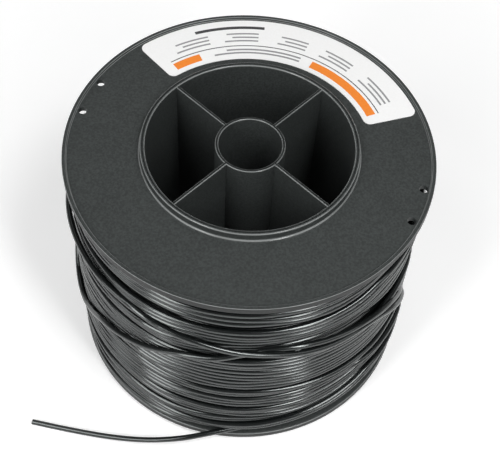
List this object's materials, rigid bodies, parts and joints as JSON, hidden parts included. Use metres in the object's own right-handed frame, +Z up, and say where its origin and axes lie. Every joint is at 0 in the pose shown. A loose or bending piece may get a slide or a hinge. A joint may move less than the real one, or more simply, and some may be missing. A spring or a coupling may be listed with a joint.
{
  "type": "spool of trimmer line",
  "caption": "Black plastic flanged spool with a webbed open drum and central bore, wound full of round nylon cutting line with a loose end, and a paper label on the flange.",
  "frame": {"origin": "middle of the lower end, on the surface that the spool stands on", "axes": "+Z up along the spool's axis; the four webs lie at 45 degrees to X and Y; the picture's camera stands on the -Y side"},
  "size_m": [0.2266, 0.2057, 0.16],
  "materials": {
    "spool_plastic": "black moulded plastic with a fine matte grain and slightly polished edges",
    "nylon_line": "black extruded nylon, satin to glossy",
    "label_paper": "white printed sticker paper"
  },
  "bodies": {
    "root": {"spool": "spool_plastic", "line_winding": "nylon_line", "line_tail": "nylon_line", "label": "label_paper"}
  },
  "joints": []
}
